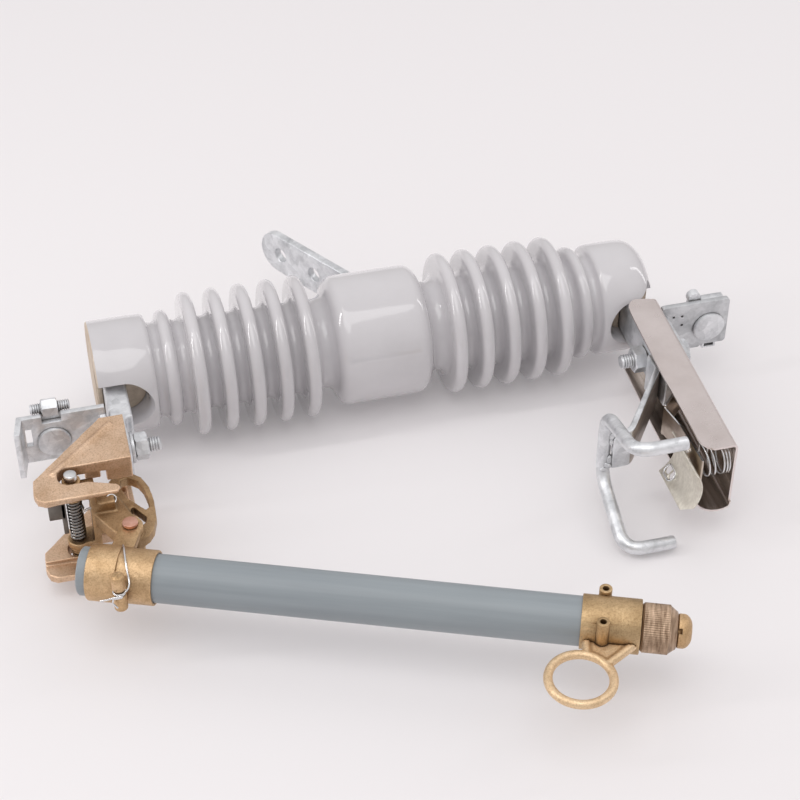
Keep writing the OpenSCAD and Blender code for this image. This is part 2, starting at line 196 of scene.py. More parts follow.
def tube_mat():
    m = Mat("tube_grey", (0.34, 0.375, 0.4), 0.42, 0.0, 0.1, 0.25)
    along = m.coords(rad(22.5), (3.0, 90.0, 90.0))
    st = m.ramp(m.noise(1.0, 5.0, 0.65, along), [(0.25, (0.235, 0.265, 0.283)), (0.75, (0.305, 0.34, 0.362))])
    big = m.ramp(m.noise(9.0, 3.0), [(0.3, (0.93, 0.93, 0.94)), (0.7, (1.0, 1.0, 1.0))])
    m.color(m.mix(1.0, st, big, "MULTIPLY"))
    m.bump(m.noise(1.0, 3.0, 0.6, m.coords(rad(22.5), (6.0, 260.0, 260.0))), 0.06, 0.0003)
    return m.m


def bronze(name, light, dark, deep, bump=0.35, reach=0.007, crevice_shade_tint=(0.42, 0.36, 0.31)):
    m = Mat(name, light, 0.5, 0.85, 0.0, 0.1)
    a = m.ramp(m.noise(55.0, 5.0, 0.65), [(0.32, dark), (0.62, light)])
    fine = m.ramp(m.noise(950.0, 3.0, 0.6), [(0.36, (0.80, 0.77, 0.73)), (0.54, (1.0, 1.0, 1.0))])
    a = m.mix(1.0, a, fine, "MULTIPLY")
    g = m.t.nodes.new("ShaderNodeNewGeometry")
    # convex edges lighter as real edge wear; concave creases darker, which is painted shade
    wear_and_crease_shade = m.ramp(g.outputs["Pointiness"], [(0.42, (0.55, 0.48, 0.42)), (0.485, (0.97, 0.97, 0.97)), (0.52, (0.97, 0.97, 0.97)), (0.57, (1.25, 1.25, 1.25))])
    a = m.mix(1.0, a, wear_and_crease_shade, "MULTIPLY")
    pits = m.ramp(m.noise(420.0, 3.0, 0.6), [(0.22, 1.0), (0.33, 0.0)])
    # the pits are the metal's own; the darkening in crevices is painted shade
    m.color(m.painted_crevice_shade(m.mix(pits, a, deep), reach, crevice_shade_tint))
    m.rough(m.ramp(m.noise(160.0, 4.0), [(0.3, 0.36), (0.7, 0.56)]))
    m.bump(m.noise(520.0, 5.0, 0.65), bump, 0.0005)
    return m.m


def galvanised(name="galvanised", k=1.0):
    m = Mat(name, (0.68 * k, 0.69 * k, 0.7 * k), 0.45, 0.75)
    v = m.t.nodes.new("ShaderNodeTexVoronoi")
    v.inputs["Scale"].default_value = 210.0
    m.t.links.new(m.coords(), v.inputs["Vector"])
    sp = m.ramp(v.outputs["Color"], [(0.1, (0.71 * k, 0.722 * k, 0.74 * k)), (0.9, (0.87 * k, 0.882 * k, 0.905 * k))])
    cl = m.ramp(m.noise(75.0, 5.0, 0.65), [(0.32, (0.70, 0.705, 0.71)), (0.58, (1.0, 1.0, 1.0))])
    # spangle and mottling are the zinc's own; the darkening in crevices is painted shade
    m.color(m.painted_crevice_shade(m.mix(1.0, sp, cl, "MULTIPLY"), 0.004, (0.38, 0.36, 0.34), 0.2, 0.7))
    m.rough(m.ramp(m.noise(120.0, 4.0), [(0.3, 0.30), (0.7, 0.5)]))
    m.bump(m.noise(330.0, 4.0), 0.3, 0.0004)
    return m.m


def brushed(name, dark, light, rot, scale, rough, metal=1.0, bump=0.08):
    m = Mat(name, light, rough, metal)
    n = m.noise(1.0, 5.0, 0.6, m.coords(rot, scale))
    m.color(m.ramp(n, [(0.3, dark), (0.7, light)]))
    m.bump(n, bump, 0.0002)
    return m.m


M_PORC = porcelain()
M_RAW = mottled("bare_ceramic", (0.5, 0.40, 0.31), (0.66, 0.57, 0.48), 60.0, 0.85, 0.0, 0.4, 700.0)
M_CEM = mottled("cement", (0.44, 0.36, 0.28), (0.6, 0.51, 0.41), 120.0, 0.9, 0.0, 0.6, 600.0, 0.0008)
M_GALV = galvanised()
M_GALV_D = galvanised("galvanised_dull", 0.8)
M_BRONZE = bronze("cast_bronze", (0.82, 0.60, 0.43), (0.66, 0.455, 0.30), (0.32, 0.20, 0.11), 0.55)
M_BRONZE_R = bronze("cast_bronze_end", (0.58, 0.415, 0.235), (0.40, 0.27, 0.14), (0.20, 0.12, 0.055), 0.8)
M_BRONZE_Y = bronze("cast_bronze_yellow", (0.70, 0.49, 0.285), (0.46, 0.30, 0.155), (0.26, 0.15, 0.07), 0.8)
# darker copy of the cast bronze for the trunnion casting, which sits in shade: painted shade, with deeper painted
# crevice shade
M_BRONZE_SHADED = bronze("cast_bronze_shaded", (0.56, 0.385, 0.22), (0.36, 0.235, 0.125), (0.18, 0.11, 0.05), 0.7, 0.012, (0.20, 0.155, 0.12))
M_BRONZE_L = bronze("cast_bronze_light", (0.92, 0.70, 0.46), (0.74, 0.53, 0.315), (0.36, 0.22, 0.11), 0.6)
M_STEEL = mottled("stainless", (0.67, 0.595, 0.57), (0.83, 0.755, 0.735), 26.0, 0.3, 1.0, 0.02, 60.0, 0.0004, 0.3, 0.7, 0.22, 0.38)
# darker streaked copy of the stainless for the hood's inner faces: painted shade with painted reflection streaks
M_STEEL_SHADE_IN = brushed("stainless_inside_painted_shade", (0.30, 0.245, 0.21), (0.86, 0.77, 0.70), 0.0, (160.0, 5.0, 160.0), 0.26)
M_LEAF = mottled("leaf_bronze", (0.34, 0.27, 0.22), (0.66, 0.58, 0.50), 45.0, 0.28, 1.0)
M_COPPER = mottled("copper", (0.66, 0.36, 0.27), (0.80, 0.50, 0.40), 150.0, 0.38, 1.0, 0.15, 600.0)
M_SILVER = brushed("silver_plate", (0.62, 0.58, 0.50), (0.84, 0.80, 0.71), rad(-20), (30.0, 320.0, 320.0), 0.42, 0.7, 0.12)
M_DARK = mottled("spring_steel", (0.035, 0.033, 0.03), (0.075, 0.07, 0.065), 80.0, 0.33, 0.9)
M_DULL = mottled("dark_plate", (0.13, 0.115, 0.10), (0.22, 0.20, 0.18), 70.0, 0.5, 0.6, 0.2, 500.0)
M_COIL = mottled("spring_wire", (0.16, 0.155, 0.15), (0.30, 0.29, 0.28), 80.0, 0.2, 1.0)
# darker copy of the galvanised for one side of the hook bar: painted shade
M_BAR_SHADED_SIDE = brushed("bar_side_painted_shade", (0.36, 0.31, 0.275), (0.62, 0.55, 0.50), rad(-55), (6.0, 160.0, 160.0), 0.4, 0.8)
M_BRIGHT = mottled("bright_wire", (0.66, 0.67, 0.68), (0.82, 0.82, 0.83), 60.0, 0.25, 1.0)
M_TUBE = tube_mat()
M_BORE = mottled("tube_bore", (0.10, 0.09, 0.08), (0.17, 0.155, 0.14), 60.0, 0.8, 0.0)
M_CAP = brushed("cap_bronze", (0.20, 0.125, 0.075), (0.62, 0.455, 0.325), rad(22.5), (620.0, 90.0, 90.0), 0.45, 0.85, 0.5)


# ---------- shapes ----------
class Shape:
    def __init__(self, to=to_i):
        self.v, self.f, self.to = [], [], to

    def pt(self, axis, c, d, p, q):
        if axis == "x":
            return (c[0] + d, c[1] + p, c[2] + q)
        if axis == "y":
            return (c[0] + q, c[1] + d, c[2] + p)
        return (c[0] + p, c[1] + q, c[2] + d)

    def lathe(self, prof, axis="x", c=(0, 0, 0), n=64, radius=None, loop=False):
        rings = []
        for d, r in prof:
            if r <= 1e-6:
                self.v.append(self.pt(axis, c, d, 0, 0))
                rings.append([len(self.v) - 1])
                continue
            ids = []
            for k in range(n):
                a = 2 * pi * k / n
                rr = r if radius is None else radius(a, d, r)
                self.v.append(self.pt(axis, c, d, rr * cos(a), rr * sin(a)))
                ids.append(len(self.v) - 1)
            rings.append(ids)
        pairs = list(zip(rings, rings[1:]))
        if loop:
            pairs.append((rings[-1], rings[0]))
        for A, B in pairs:
            for k in range(n):
                j = (k + 1) % n
                if len(A) == 1 and len(B) == 1:
                    break
                if len(A) == 1:
                    self.f.append((A[0], B[k], B[j]))
                elif len(B) == 1:
                    self.f.append((A[j], A[k], B[0]))
                else:
                    self.f.append((A[k], A[j], B[j], B[k]))
        return self

    def tube(self, pts, r, n=14, closed=False):
        pts = [Vector(p) for p in pts]
        m = len(pts)
        rs = r if isinstance(r, (list, tuple)) else [r] * m
        tang = []
        for i in range(m):
            a = pts[i - 1] if (i > 0 or closed) else pts[i]
            b = pts[(i + 1) % m] if (i < m - 1 or closed) else pts[i]
            tang.append((b - a).normalized())
        ref = Vector((0, 0, 1)) if abs(tang[0].z) < 0.9 else Vector((1, 0, 0))
        nrm = (ref - tang[0] * ref.dot(tang[0])).normalized()
        rings = []
        for i in range(m):
            if i:
                nrm = (nrm - tang[i] * nrm.dot(tang[i])).normalized()
            bi = tang[i].cross(nrm)
            ids = []
            for k in range(n):
                a = 2 * pi * k / n
                self.v.append(tuple(pts[i] + (nrm * cos(a) + bi * sin(a)) * rs[i]))
                ids.append(len(self.v) - 1)
            rings.append(ids)
        pairs = list(zip(rings, rings[1:]))
        if closed:
            pairs.append((rings[-1], rings[0]))
        for A, B in pairs:
            for k in range(n):
                j = (k + 1) % n
                self.f.append((A[k], A[j], B[j], B[k]))
        if not closed:
            self.f.append(tuple(rings[0]))
            self.f.append(tuple(reversed(rings[-1])))
        return self

    def nut(self, c, axis, R, h, turn=0.0, n=72):
        ap = R * cos(pi / 6)
        r0 = ap * 0.965

        def hexr(a):
            k = (a + turn) % (pi / 3) - pi / 6
            return ap / cos(k)
        ids = []
        for lvl in range(4):
            ring = []
            for k in range(n):
                a = 2 * pi * k / n
                hr = hexr(a)
                drop = max(0.0, hr - r0) * 0.55 + 0.12
                d, r = ((0, r0), (drop, hr), (h - drop, hr), (h, r0))[lvl]
                self.v.append(self.pt(axis, c, d, r * cos(a), r * sin(a)))
                ring.append(len(self.v) - 1)
            ids.append(ring)
        for A, B in zip(ids, ids[1:]):
            for k in range(n):
                j = (k + 1) % n
                self.f.append((A[k], A[j], B[j], B[k]))
        self.f.append(tuple(reversed(ids[0])))
        self.f.append(tuple(ids[-1]))
        return self

    def thread(self, c, axis, r, d0, d1, pitch=1.5, depth=0.75, n=40):
        prof = [(d0, 0), (d0, r - depth), ]
        d = d0 + 0.25 * pitch
        while d + pitch < d1:
            prof += [(d, r - depth), (d + 0.42 * pitch, r), (d + 0.58 * pitch, r)]
            d += pitch
        prof += [(d1 - 0.3, r - depth), (d1, r - depth - 0.4), (d1, 0)]
        return self.lathe(prof, axis, c, n)

    def prism(self, outline, d0, d1, axis="z"):
        n = len(outline)
        b = len(self.v)
        for d in (d0, d1):
            for p, q in outline:
                self.v.append({"z": (p, q, d), "y": (p, d, q), "x": (d, p, q)}[axis])
        self.f.append(tuple(range(b + n - 1, b - 1, -1)))
        self.f.append(tuple(range(b + n, b + 2 * n)))
        for k in range(n):
            j = (k + 1) % n
            self.f.append((b + k, b + j, b + n + j, b + n + k))
        return self

    def loft(self, rings):
        """Outlines in x and z, one for each y, joined in order."""
        n = len(rings[0][1])
        b = len(self.v)
        for y, line in rings:
            for x, z in line:
                self.v.append((x, y, z))
        self.f.append(tuple(range(b, b + n)))
        self.f.append(tuple(range(b + (len(rings) - 1) * n + n - 1, b + (len(rings) - 1) * n - 1, -1)))
        for i in range(len(rings) - 1):
            for k in range(n):
                j = (k + 1) % n
                self.f.append((b + i * n + k, b + i * n + j, b + (i + 1) * n + j, b + (i + 1) * n + k))
        return self

    def block(self, a, b):
        return self.prism([(a[0], a[1]), (b[0], a[1]), (b[0], b[1]), (a[0], b[1])], a[2], b[2])

    def blob(self, c, r, squash=(1, 1, 1), n=16, seed=0):
        g = random.Random(seed)
        rows = []
        for i in range(n + 1):
            t = pi * i / n
            if i in (0, n):
                self.v.append((c[0], c[1], c[2] + r * squash[2] * cos(t)))
                rows.append([len(self.v) - 1])
                continue
            ids = []
            for k in range(n):
                a = 2 * pi * k / n
                w = r * (1 + g.uniform(-0.12, 0.12))
                self.v.append((c[0] + w * squash[0] * sin(t) * cos(a), c[1] + w * squash[1] * sin(t) * sin(a), c[2] + w * squash[2] * cos(t)))
                ids.append(len(self.v) - 1)
            rows.append(ids)
        for A, B in zip(rows, rows[1:]):
            for k in range(n):
                j = (k + 1) % n
                if len(A) == 1:
                    self.f.append((A[0], B[k], B[j]))
                elif len(B) == 1:
                    self.f.append((A[k], B[0], A[j]))
                else:
                    self.f.append((A[k], B[k], B[j], A[j]))
        return self

    def mesh(self, name):
        me = bpy.data.meshes.new(name)
        me.from_pydata([tuple(self.to(p)) for p in self.v], [], self.f)
        bm = bmesh.new()
        bm.from_mesh(me)
        bmesh.ops.recalc_face_normals(bm, faces=bm.faces)
        bm.to_mesh(me)
        bm.free()
        me.update()
        return me


def smooth(me, angle=35):
    me.polygons.foreach_set("use_smooth", [True] * len(me.polygons))
    if angle:
        me.set_sharp_from_angle(angle=rad(angle))


def obj_of(me, name):
    o = bpy.data.objects.new(name, me)
    S.collection.objects.link(o)
    return o


def baked(o):
    """The object's mesh with its modifiers in it."""
    bpy.context.view_layer.update()
    dg = bpy.context.evaluated_depsgraph_get()
    me = bpy.data.meshes.new_from_object(o.evaluated_get(dg), depsgraph=dg)
    o.modifiers.clear()
    o.data = me
    return o


def cut(o, tool, op="DIFFERENCE"):
    t = tool if not isinstance(tool, Shape) else obj_of(tool.mesh("tool"), "tool")
    m = o.modifiers.new("cut", "BOOLEAN")
    m.operation, m.object, m.solver = op, t, "EXACT"
    baked(o)
    bpy.data.objects.remove(t)
    return o


def bevel_mesh(me, width, seg=2, angle=30):
    bm = bmesh.new()
    bm.from_mesh(me)
    bmesh.ops.remove_doubles(bm, verts=bm.verts, dist=3e-6)
    bmesh.ops.dissolve_limit(bm, angle_limit=rad(0.6), verts=bm.verts, edges=bm.edges)
    es = [e for e in bm.edges if len(e.link_faces) == 2 and e.calc_face_angle(0) > rad(angle)]
    if width:
        bmesh.ops.bevel(bm, geom=es, offset=width / 1000, offset_type="OFFSET", segments=seg, profile=0.5,
                        affect="EDGES", clamp_overlap=False, loop_slide=True, miter_outer="ARC", miter_inner="SHARP")
    bmesh.ops.recalc_face_normals(bm, faces=bm.faces)
    bm.to_mesh(me)
    bm.free()


BODY = {n: b for b, ns in frame["record"]["behaviour"]["bodies"].items() for n in ns}


def settle(o, node, mat, body=None, replace=True):
    if mat is not None:
        o.data.materials.clear()
        o.data.materials.append(mat)
    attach(o, body or BODY[node])
    if replace:
        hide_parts(node)
    return o


def made(node, shape, mat, angle=35, bevel=0, seg=2, name=None, replace=True):
    me = shape.mesh(name or node + "_v")
    if bevel:
        bevel_mesh(me, bevel, seg)
    smooth(me, angle)
    return settle(obj_of(me, name or node + "_v"), node, mat, replace=replace)


def from_cad(node, mat, bevel=0.5, seg=2, angle=30, shade=40):
    me = N[node].data.copy()
    for a in ("custom_normal",):
        if a in me.attributes:
            me.attributes.remove(me.attributes[a])
    bevel_mesh(me, bevel, seg, angle)
    smooth(me, shade)
    return settle(obj_of(me, node + "_v"), node, mat)


def cast(node, mat, voxel=0.8, rounds=4, extra=None):
    """A CAD solid with its edges rounded as a casting's are."""
    me = N[node].data.copy()
    if "custom_normal" in me.attributes:
        me.attributes.remove(me.attributes["custom_normal"])
    bm = bmesh.new()
    bm.from_mesh(me)
    bmesh.ops.remove_doubles(bm, verts=bm.verts, dist=3e-6)
    if extra:
        em = extra.mesh("extra")
        bm.from_mesh(em)
    bm.to_mesh(me)
    bm.free()
    o = obj_of(me, node + "_v")
    r = o.modifiers.new("remesh", "REMESH")
    r.mode, r.voxel_size, r.adaptivity = "VOXEL", voxel / 1000, 0.0
    s = o.modifiers.new("soft", "SMOOTH")
    s.factor, s.iterations = 0.5, rounds
    baked(o)
    smooth(o.data, 0)
    return settle(o, node, mat)


# ---------- insulator ----------
def arc(cx, cr, r, a0, a1, n):
    return [(cr + r * cos(rad(a0 + (a1 - a0) * i / n)), cx + r * sin(rad(a0 + (a1 - a0) * i / n))) for i in range(n + 1)]


def valley(x0, x1, top, n=14):
    w, m = (x1 - x0) / 2, (x0 + x1) / 2
    return [(max(32, top) - w * sin(pi * i / n), m - w * cos(pi * i / n)) for i in range(n + 1)]


RIM, FIRST, PITCH, SHED = 4.5, 51.8, 19.15, 50.0
SMALL = FIRST + 4 * PITCH + 17.5


def half_profile(edge):
    p = [(45.5, 0), (45.5, 8), (45.5, 16)]
    p += arc(24, 36.5, 9, 0, 72, 10)
    p += valley(33, FIRST - RIM, 38.5)
    for k in range(5):
        p += arc(FIRST + k * PITCH, SHED - RIM, RIM, -90, 90, 14)
        x0 = FIRST + k * PITCH + RIM
        p += valley(x0, x0 + PITCH - 2 * RIM, 37) if k < 4 else valley(x0, SMALL - RIM, 36.4)
    p += arc(SMALL, 40.25 - RIM, RIM, -90, 90, 12)
    p += valley(SMALL + RIM, SMALL + RIM + 7, 36, 8)
    p += [(38, SMALL + RIM + 7.2), (39.2, SMALL + RIM + 8), (40, SMALL + RIM + 9.5), (40, SMALL + RIM + 16)]
    p += arc(197 - edge, 40 - edge, edge, 0, 90, 8)
    p += [(20, 197), (0, 197)]
    return p


def soften(p, rounds=3, keep=4):
    for _ in range(rounds):
        q = p[:]
        for i in range(1, len(p) - keep):
            q[i] = tuple(p[i][k] * 0.5 + (p[i - 1][k] + p[i + 1][k]) * 0.25 for k in (0, 1))
        p = q
    return p


right = soften(half_profile(14), 1)
left = soften(half_profile(1.5), 1)
prof = [(-x, r) for r, x in reversed(left)] + [(x, r) for r, x in right[1:]]
porc = obj_of(Shape().lathe(prof, "x", (0, 0, 0), 144).mesh("insulator_v"), "insulator_v")


def stadium(x0, x1, r, zc, n=28):
    """Outline (x, z) of a pocket: round at x0, open past x1."""
    s = 1 if x1 > x0 else -1
    pts = [(x0 - s * r * sin(pi * i / n), zc + r * cos(pi * i / n)) for i in range(n + 1)]
    return pts + [(x1, zc - r), (x1, zc + r)]


LIPS = [(-60, 6.0), (-43, 5.4), (-40.5, 3.4), (-39, 2.3), (-37.5, 1.35), (-36, 0.7), (-34, 0.25), (-31, 0.0), (-14, 0.0)]
cut(porc, Shape().loft([(y, stadium(-180, -215, 16.5 + g, 3)) for y, g in LIPS]))
cut(porc, Shape().loft([(y, stadium(180, 215, 16.5 + g * 0.6, 3)) for y, g in LIPS]))
mouth = []
for i in range(25):
    x = 179 + 24 * i / 24
    mouth.append((x, 3 + 16.3 + 12.5 * ((x - 179) / 17.5) ** 2.0))
cut(porc, Shape().prism(mouth + [(x, 6 - z) for x, z in reversed(mouth)], -60, -22, "y"))
smooth(porc.data, 50)
porc.data.materials.clear()
porc.data.materials.append(M_PORC)
porc.data.materials.append(M_RAW)
for f in porc.data.polygons:
    c = f.center * 1000
    x, y, z = c.x + FX, c.y + FY, c.z
    inside = (y * y + z * z) ** 0.5 < 38.6 and (x < -150 or x > 150)
    if (x < -196.4) or (inside and abs(x) < 196.9 and y > -16 and f.normal.y < -0.5):
        f.material_index = 1
settle(porc, "insulator", None)

for nm in ("lower_cement", "upper_cement"):
    cast(nm, M_CEM, 0.9, 5)

from_cad("mounting_strap", M_GALV, 0.9, 3)
from_cad("lower_strap", M_GALV, 2.4, 4)
from_cad("upper_strap", M_GALV, 1.2, 3)

# ---------- terminals ----------
from_cad("lower_terminal", M_GALV, 0.3, 2)
from_cad("upper_terminal", M_GALV_D, 0.3, 2)


def stud(node, x, y, z, r):
    s = Shape()
    d = [(0, 0), (0, r - 0.4), (-0.3, r), (-1.6, r), (-2.2, r - 0.7), (-2.4, r - 1.8), (-2.4, 0)]
    s.lathe(d, "y", (x, y, z), 72)
    s.nut((x, y + 6.0, z), "y", 8, 6.5)
    s.thread((x, y, z), "y", 4, 0.0, 23.1)
    return made(node, s, M_GALV, 30)


stud("lower_terminal_stud", -230.5, -56.1, 0, 11)
stud("upper_terminal_stud", 231, -50.1, 0, 11.5)
s = Shape()
s.thread((-243, -47.4, 21.6), "x", 3.6, 0, 26, 1.5)
s.nut((-235.6, -47.4, 21.6), "x", 6.2, 10.6, pi / 6)
s.block((-237.5, -51.8, 7), (-223, -43, 19.6))
made("lower_clamp_bolt", s, M_GALV, 30)
from_cad("upper_clamp_bolt", M_GALV, 0.25, 2)


# ---------- bolts ----------
def bolt(node, y, head, nut, end, washer=None):
    s = Shape()
    h0, h1 = head
    n0, n1 = nut
    s.nut((h0, y, 0), "x", 9.3, h1 - h0)
    s.nut((n0, y, 0), "x", 9.3, n1 - n0)
    lo, hi = min(h0, end), max(h1, end)
    s.thread((lo, y, 0), "x", 5, 0.2, hi - lo - 0.1, 1.75, 0.85)
    if washer:
        w0, w1 = washer
        s.lathe([(0, 5.1), (0, 10), (0.3, 10.4), (w1 - w0 - 0.3, 10.4), (w1 - w0, 10), (w1 - w0, 5.1)], "x", (w0, y, 0), 56, loop=True)
    return made(node, s, M_GALV, 30)


bolt("hinge_bolt", -76, (-206.2, -199.4), (-180.4, -171.5), -163, (-182.9, -180.6))
bolt("hood_bolt", -73, (199, 205.8), (165.8, 174.8), 157)

# ---------- latch end ----------
# hood: folded sheet with rounded bends
def folded(t, r_out):
    """Section of a channel in x and z, open to -x."""
    zm, zh = -2, 26
    pts = []
    for sgn, a0, a1 in ((1, 90, 0), (-1, 0, -90)):
        for i in range(9):
            a = rad(a0 + (a1 - a0) * i / 8)
            pts.append((192.5 - r_out + r_out * cos(a), zm + sgn * (zh - r_out) + r_out * sin(a)))
    pts = [(150, zm + zh)] + pts + [(150, zm - zh)]
    ri = r_out - t
    inner = []
    for sgn, a0, a1 in ((-1, -90, 0), (1, 0, 90)):
        for i in range(9):
            a = rad(a0 + (a1 - a0) * i / 8)
            inner.append((192.5 - r_out + ri * cos(a), zm + sgn * (zh - r_out) + ri * sin(a)))
    return pts + [(150, zm - zh + t)] + inner + [(150, zm + zh - t)]


hood = obj_of(Shape().prism(folded(1.5, 3.2), -215, -30, "y").mesh("hood_v"), "hood_v")
outline = [(170.7, -42), (173.4, -38.6), (176.4, -37.2), (181, -37.6), (193.5, -41), (193.5, -198.8), (190, -200.8), (186, -202), (182, -202.3), (178, -201.6),
           (174.6, -199.8), (172.2, -197.0), (170.6, -192.6), (169.0, -187), (168.3, -112), (169.2, -52), (169.7, -45)]
cut(hood, Shape().prism(outline, -40, 40), "INTERSECT")
cut(hood, Shape().prism([(196, -198), (176.6, -198), (172.8, -195.6), (168.6, -189.2), (150, -180), (150, -220), (196, -220)], -24.2, 40))
cut(hood, Shape().lathe([(0, 0), (0, 5.3), (20, 5.3), (20, 0)], "x", (182, -73, 0), 40))
# the hood stands slightly askew to the insulator
for v in hood.data.vertices:
    y = v.co.y * 1000 + FY
    v.co.x += (1.9 + (y + 41) * 0.02548) / 1000
smooth(hood.data, 32)
hood.data.materials.clear()
hood.data.materials.append(M_STEEL)
hood.data.materials.append(M_STEEL_SHADE_IN)
# faces turned into the hood get the darker copy: painted shade and painted reflection streaks
for f in hood.data.polygons:
    c = f.center * 1000
    x, z = c.x + FX, c.z
    n = f.normal
    toward = n.x * (180 - x) + n.z * (-2 - z)
    if toward > 0 and abs(n.y) < 0.5 and x > 169.5 and not (n.x < -0.9 and x < 176):
        f.material_index = 1
settle(hood, "hood", None)

bar = from_cad("hook_bar", M_GALV, 1.0, 3)
# the bar's faces turned towards the front get the darker copy: painted shade
bar.data.materials.append(M_BAR_SHADED_SIDE)
for f in bar.data.polygons:
    if f.normal.x * 0.82 - f.normal.y * 0.57 > 0.93:
        f.material_index = 1


def bend(a, c, b, n):
    a, b, c = Vector(a), Vector(b), Vector(c)
    return [a * (1 - t) ** 2 + c * (2 * t * (1 - t)) + b * t * t for t in [i / n for i in range(n + 1)]]


def toward(a, b, d):
    a, b = Vector(a), Vector(b)
    return a + (b - a).normalized() * d


path = []
for sg in (-1, 1):
    top, cor, elb, tip = (118, -151.5, 12 * sg), (118, -151.5, 26 * sg), (115.5, -208, 43 * sg), (150, -208, 43 * sg)
    one = bend(top, cor, toward(cor, elb, 14), 12) + bend(toward(elb, cor, 14), elb, toward(elb, tip, 14), 12) + [Vector((138, -208, 43 * sg)), Vector((148.6, -208, 43 * sg))]
    path = list(reversed(one)) if sg < 0 else path + one
s = Shape()
ends = [Vector((150, -208, -43)), Vector((149.7, -208, -43))]
full = ends + path + [Vector((149.7, -208, 43)), Vector((150, -208, 43))]
s.tube(full, [3.5, 4.1] + [4.5] * len(path) + [4.1, 3.5], 24)
made("hook_rod", s, M_GALV, 45)
s = Shape()
for k, (x, y, z, r, q) in enumerate([(121.4, -155.0, 9.5, 2.6, (0.8, 0.8, 1.2)), (121.2, -155.6, 5.5, 2.2, (0.8, 0.8, 1.3)), (120.8, -155.4, -10, 2.6, (0.9, 0.9, 1.5)),
                                     (120.2, -155.6, -14.5, 3.0, (1.0, 0.8, 1.0)), (117.5, -156.0, -17.5, 2.2, (1.3, 0.7, 0.9)), (122.6, -155.8, -1.5, 1.7, (0.7, 0.7, 2.4))]):
    s.blob((x, y, z), r, q, 14, k)
made("hook_rod", s, M_GALV, 0, name="rod_weld", replace=False)

from_cad("cup_contact", M_SILVER, 0.45, 2)
leaf = from_cad("contact_leaf", M_LEAF, 0.25, 1)
leaf.data.materials.append(M_BRIGHT)
# the leaf's upward faces get the bright wire material: a painted highlight along its top edge
for f in leaf.data.polygons:
    if abs(f.normal.z) > 0.6:
        f.material_index = 1
s = Shape()
pts = []
for i in range(41):
    a = 2 * pi * i / 40
    y = -170.5 + (3.0 if sin(a) >= 0 else -3.0) + 3.0 * sin(a)
    z = -17 + 3.0 * cos(a)
    pts.append((139.4 + (24.2 ** 2 - (z + 2) ** 2) ** 0.5, y, z))
s.tube(pts[:-1], 0.75, 10, True)
made("cup_contact", s, M_BRIGHT, 60, name="cup_rim", replace=False)
s = Shape()
pts = []
turns, n = 4.4, 190
for i in range(n + 1):
    t = i / n
    a = 2 * pi * turns * t + 1.2
    lean = 2.4 * (1 - t) ** 1.5 * min(1, 4 * t) * sin(a / 2 + 0.6)
    pts.append((171.5 + 16.3 * (1 - (1 - t) ** 1.7) + lean, -184.5 + 11.6 * cos(a), 4 + 11.6 * sin(a)))
s.tube(pts, 0.66, 10)
made("contact_spring", s, M_BRIGHT, 60)

# ---------- hinge end ----------
cast("hinge_casting", M_BRONZE, 0.66, 3)

# ---------- trunnion ----------
s = Shape()
rings = Shape()
for sg in (1, -1):
    for a, b, r in ((24.2, 26.6, 5.8), (27.2, 29.0, 5.2), (29.6, 31.6, 5.7)):
        rings.lathe([(a * sg, 3.1), (a * sg, r - 0.4), ((a + 0.4) * sg, r), ((b - 0.4) * sg, r), (b * sg, r - 0.4), (b * sg, 3.1)], "z", (TX, TY, 0), 48, loop=True)
pin = [(32.5, 3.0), (32.6, 3.9), (33.0, 4.3), (35.4, 4.3), (36.4, 3.8), (37, 2.4), (37, 0)]
s.lathe([(-z, r) for z, r in reversed(pin)] + pin, "z", (TX, TY, 0), 48)
made("trunnion_shaft", s, M_BRIGHT, 40)
made("trunnion_shaft", rings, M_BRONZE_Y, 40, name="pin_rings", replace=False)
# the trunnion casting uses the darker bronze copy: painted shade
cast("trunnion_casting", M_BRONZE_SHADED, 0.7, 3)
s = Shape()
turns, n = 12.5, 420
pts = []
for i in range(n + 1):
    t = i / n
    a = 2 * pi * turns * t + 0.4
    pts.append((TX + 4.2 * cos(a), TY + 4.2 * sin(a), -16.6 + 33.2 * t))
s.tube(pts, 0.86, 10)
made("flipper_spring", s, M_COIL, 60)
s = Shape()
s.tube([(TX + 4.2, TY - 1.5, 11.2), (TX + 4.9, TY - 4.4, 10.6), (TX + 4.6, TY - 7.0, 10.2), (TX + 8.0, TY - 5.6, 10.2), (TX + 14.2, TY - 4.3, 10.4)], 0.85, 10)
pts = []
ax = Vector((0.25, -0.72, 0.65)).normalized()
e1 = ax.cross(Vector((0, 0, 1))).normalized()
e2 = ax.cross(e1)
for i in range(81):
    a = 2 * pi * 3.2 * i / 80
    pts.append(tuple(Vector((-202.4, -134.4, 11.6)) - ax * (5.0 * i / 80) + (e1 * cos(a) + e2 * sin(a)) * 3.0))
s.tube(pts, 0.55, 8)
made("flipper_spring", s, M_BRIGHT, 60, name="torsion_leg", replace=False)
s = Shape()
s.block((TX - 16.5, TY - 1.4, 1.2), (TX - 6.0, TY + 1.4, 13.6))
s.block((TX - 8.6, TY - 1.4, -12), (TX - 5.6, TY + 1.4, 13.6))
made("flipper", s, M_DULL, 35, 0.5, 2)
from_cad("toggle_pin", M_COPPER, 0.5, 2)

# ---------- fuse holder ----------
from_cad("lower_ferrule", M_BRONZE_Y, 0.7, 3)
s = Shape(to_h)
s.lathe([(-5, 0), (-5, 3.4), (-4.6, 4.0), (-3.9, 4.2), (6.2, 4.2), (6.9, 3.8), (7.2, 2.9), (11.2, 2.9), (11.5, 3.8), (12.2, 4.2), (20.6, 4.2), (21.8, 3.9), (22.4, 3.1), (22.6, 1.6), (22.6, 0)], "z", (30, -22.2, 0), 40)
s.block((27.2, -22, -3.6), (32.8, -13.5, 6.2))
made("link_stud", s, M_BRONZE_Y, 40)

